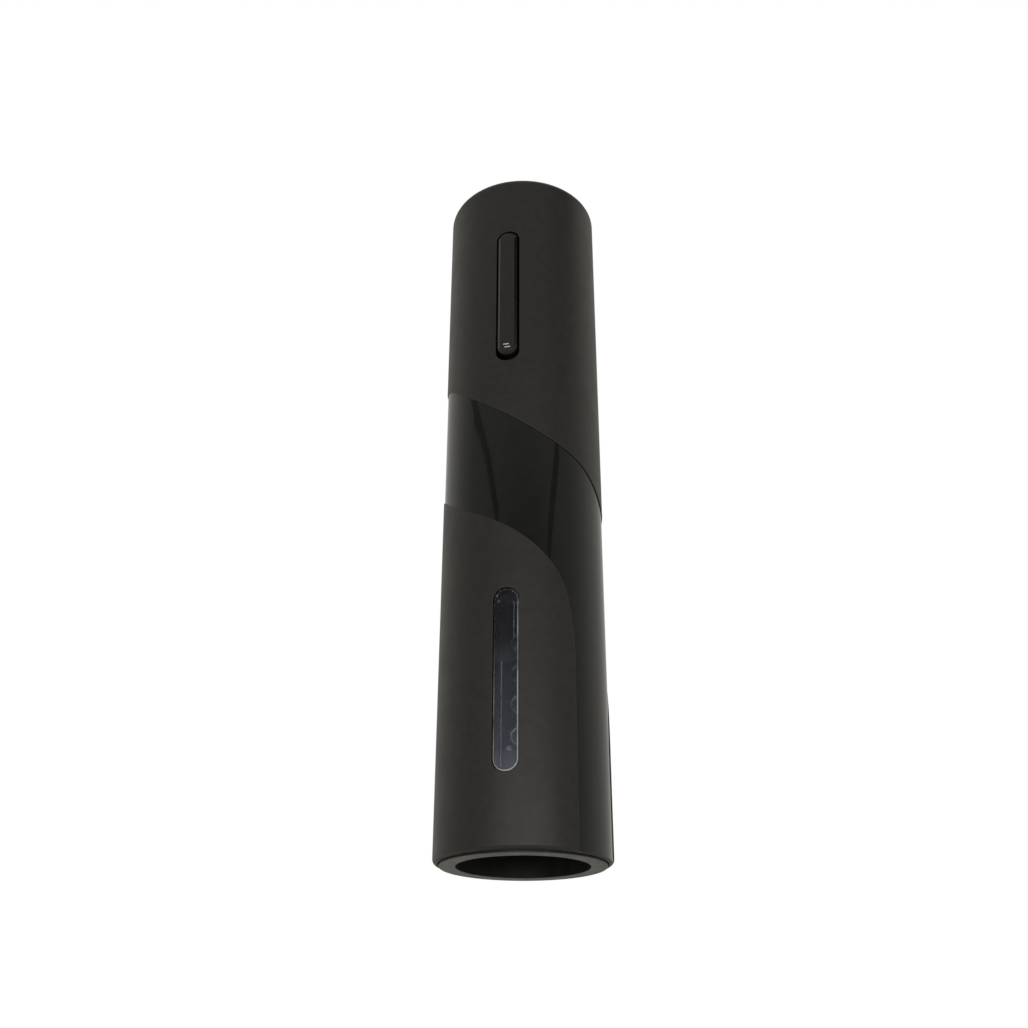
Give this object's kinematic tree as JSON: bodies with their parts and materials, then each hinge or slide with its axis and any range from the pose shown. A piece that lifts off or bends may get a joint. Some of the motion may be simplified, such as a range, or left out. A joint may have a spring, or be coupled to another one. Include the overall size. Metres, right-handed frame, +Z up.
{
  "type": "electric wine opener",
  "caption": "Slim cylindrical cordless corkscrew with a rocker button, a cork window, a wave-shaped gloss band and a powered worm inside an open mouth.",
  "frame": {"origin": "centre of the mouth's flat ring, the face that the opener stands on", "axes": "+Z up along the tube towards the motor, -Y towards the button and window, +X to the right seen from the front"},
  "size_m": [0.048, 0.0489, 0.216],
  "materials": {
    "shell_paint": "matt warm dark grey",
    "gloss_black": "piano gloss",
    "black_plastic": "moulded",
    "lens_clear": "clear smoked polycarbonate",
    "cap_paint": "matt warm dark grey",
    "port_steel": "plated",
    "light_pipe": "frosted clear",
    "mouth_plastic": "satin grey",
    "zinc_screw": "zinc plated",
    "nylon": "natural nylon",
    "bronze": "sintered bronze",
    "plate_steel": "pressed steel",
    "magnet": "ferrite",
    "copper": "copper",
    "wire_insulation": "PVC insulation",
    "cell_wrap": "shrink wrap",
    "nickel": "nickel strip",
    "circuit_board": "solder mask",
    "silicone": "silicone",
    "button_plastic": "satin dark grey",
    "worm_steel": "polished steel with a non-stick coat",
    "steel": "turned steel"
  },
  "bodies": {
    "casing": {"upper_shell": "shell_paint", "lower_shell": "shell_paint", "wave_band": "gloss_black", "core_tube": "black_plastic", "window_lens": "lens_clear", "top_cap": "cap_paint", "charge_port": "port_steel", "status_light_pipe": "light_pipe", "base_ring": "mouth_plastic", "cork_guide": "black_plastic", "guide_screws": "zinc_screw", "gearbox_case": "nylon", "output_bush": "bronze", "thrust_washer": "steel", "ring_gear": "nylon", "motor_plate": "plate_steel", "gearbox_screws": "zinc_screw", "motor_screws": "zinc_screw", "motor_can": "plate_steel", "motor_magnets": "magnet", "motor_bush": "bronze", "motor_end_cap": "black_plastic", "motor_terminals": "nickel", "motor_leads": "wire_insulation", "chassis": "black_plastic", "battery_cell": "cell_wrap", "battery_contacts": "nickel", "main_board": "circuit_board", "board_screws": "zinc_screw", "tact_switches": "black_plastic", "button_pad": "silicone", "button_frame": "black_plastic", "button_pivot_pin": "steel"},
    "rocker": {"button": "button_plastic"},
    "worm_spindle": {"worm": "worm_steel", "worm_hub": "black_plastic", "hub_pin": "steel", "output_carrier": "steel", "output_planet_pins": "steel"},
    "input_stage": {"input_carrier": "nylon", "input_planet_pins": "steel"},
    "rotor": {"motor_pinion": "bronze", "motor_shaft": "steel", "armature": "plate_steel", "commutator": "copper"},
    "output_planet_a": {"output_planet_a": "nylon"},
    "output_planet_b": {"output_planet_b": "nylon"},
    "output_planet_c": {"output_planet_c": "nylon"},
    "input_planet_a": {"input_planet_a": "nylon"},
    "input_planet_b": {"input_planet_b": "nylon"},
    "input_planet_c": {"input_planet_c": "nylon"}
  },
  "joints": [
    {"name": "button_rock", "type": "hinge", "parent": "casing", "child": "rocker", "pos_m": [0, -0.0176, 0.169], "axis": [1, 0, 0], "range_deg": [-2.2, 2.2], "stiffness_Nm_per_rad": 0.06, "deforming": ["button_pad"]},
    {"name": "worm_spin", "type": "hinge", "parent": "casing", "child": "worm_spindle", "pos_m": [0, 0, 0.08], "axis": [0, 0, 1], "continuous": true},
    {"name": "input_stage_spin", "type": "hinge", "parent": "casing", "child": "input_stage", "pos_m": [0, 0, 0.0956], "axis": [0, 0, 1], "continuous": true},
    {"name": "rotor_spin", "type": "hinge", "parent": "casing", "child": "rotor", "pos_m": [0, 0, 0.115], "axis": [0, 0, 1], "continuous": true},
    {"name": "output_planet_a_spin", "type": "hinge", "parent": "worm_spindle", "child": "output_planet_a", "pos_m": [0.009, 0, 0.0911], "axis": [0, 0, 1], "continuous": true},
    {"name": "output_planet_b_spin", "type": "hinge", "parent": "worm_spindle", "child": "output_planet_b", "pos_m": [-0.0045, 0.00779, 0.0911], "axis": [0, 0, 1], "continuous": true},
    {"name": "output_planet_c_spin", "type": "hinge", "parent": "worm_spindle", "child": "output_planet_c", "pos_m": [-0.0045, -0.00779, 0.0911], "axis": [0, 0, 1], "continuous": true},
    {"name": "input_planet_a_spin", "type": "hinge", "parent": "input_stage", "child": "input_planet_a", "pos_m": [0.009, 0, 0.0994], "axis": [0, 0, 1], "continuous": true},
    {"name": "input_planet_b_spin", "type": "hinge", "parent": "input_stage", "child": "input_planet_b", "pos_m": [-0.0045, 0.00779, 0.0994], "axis": [0, 0, 1], "continuous": true},
    {"name": "input_planet_c_spin", "type": "hinge", "parent": "input_stage", "child": "input_planet_c", "pos_m": [-0.0045, -0.00779, 0.0994], "axis": [0, 0, 1], "continuous": true}
  ],
  "couplings": [
    {"joint": "input_stage_spin", "follows": "worm_spin", "ratio": 6},
    {"joint": "rotor_spin", "follows": "worm_spin", "ratio": 36},
    {"joint": "output_planet_a_spin", "follows": "worm_spin", "ratio": -2.5},
    {"joint": "output_planet_b_spin", "follows": "worm_spin", "ratio": -2.5},
    {"joint": "output_planet_c_spin", "follows": "worm_spin", "ratio": -2.5},
    {"joint": "input_planet_a_spin", "follows": "worm_spin", "ratio": -15},
    {"joint": "input_planet_b_spin", "follows": "worm_spin", "ratio": -15},
    {"joint": "input_planet_c_spin", "follows": "worm_spin", "ratio": -15}
  ]
}
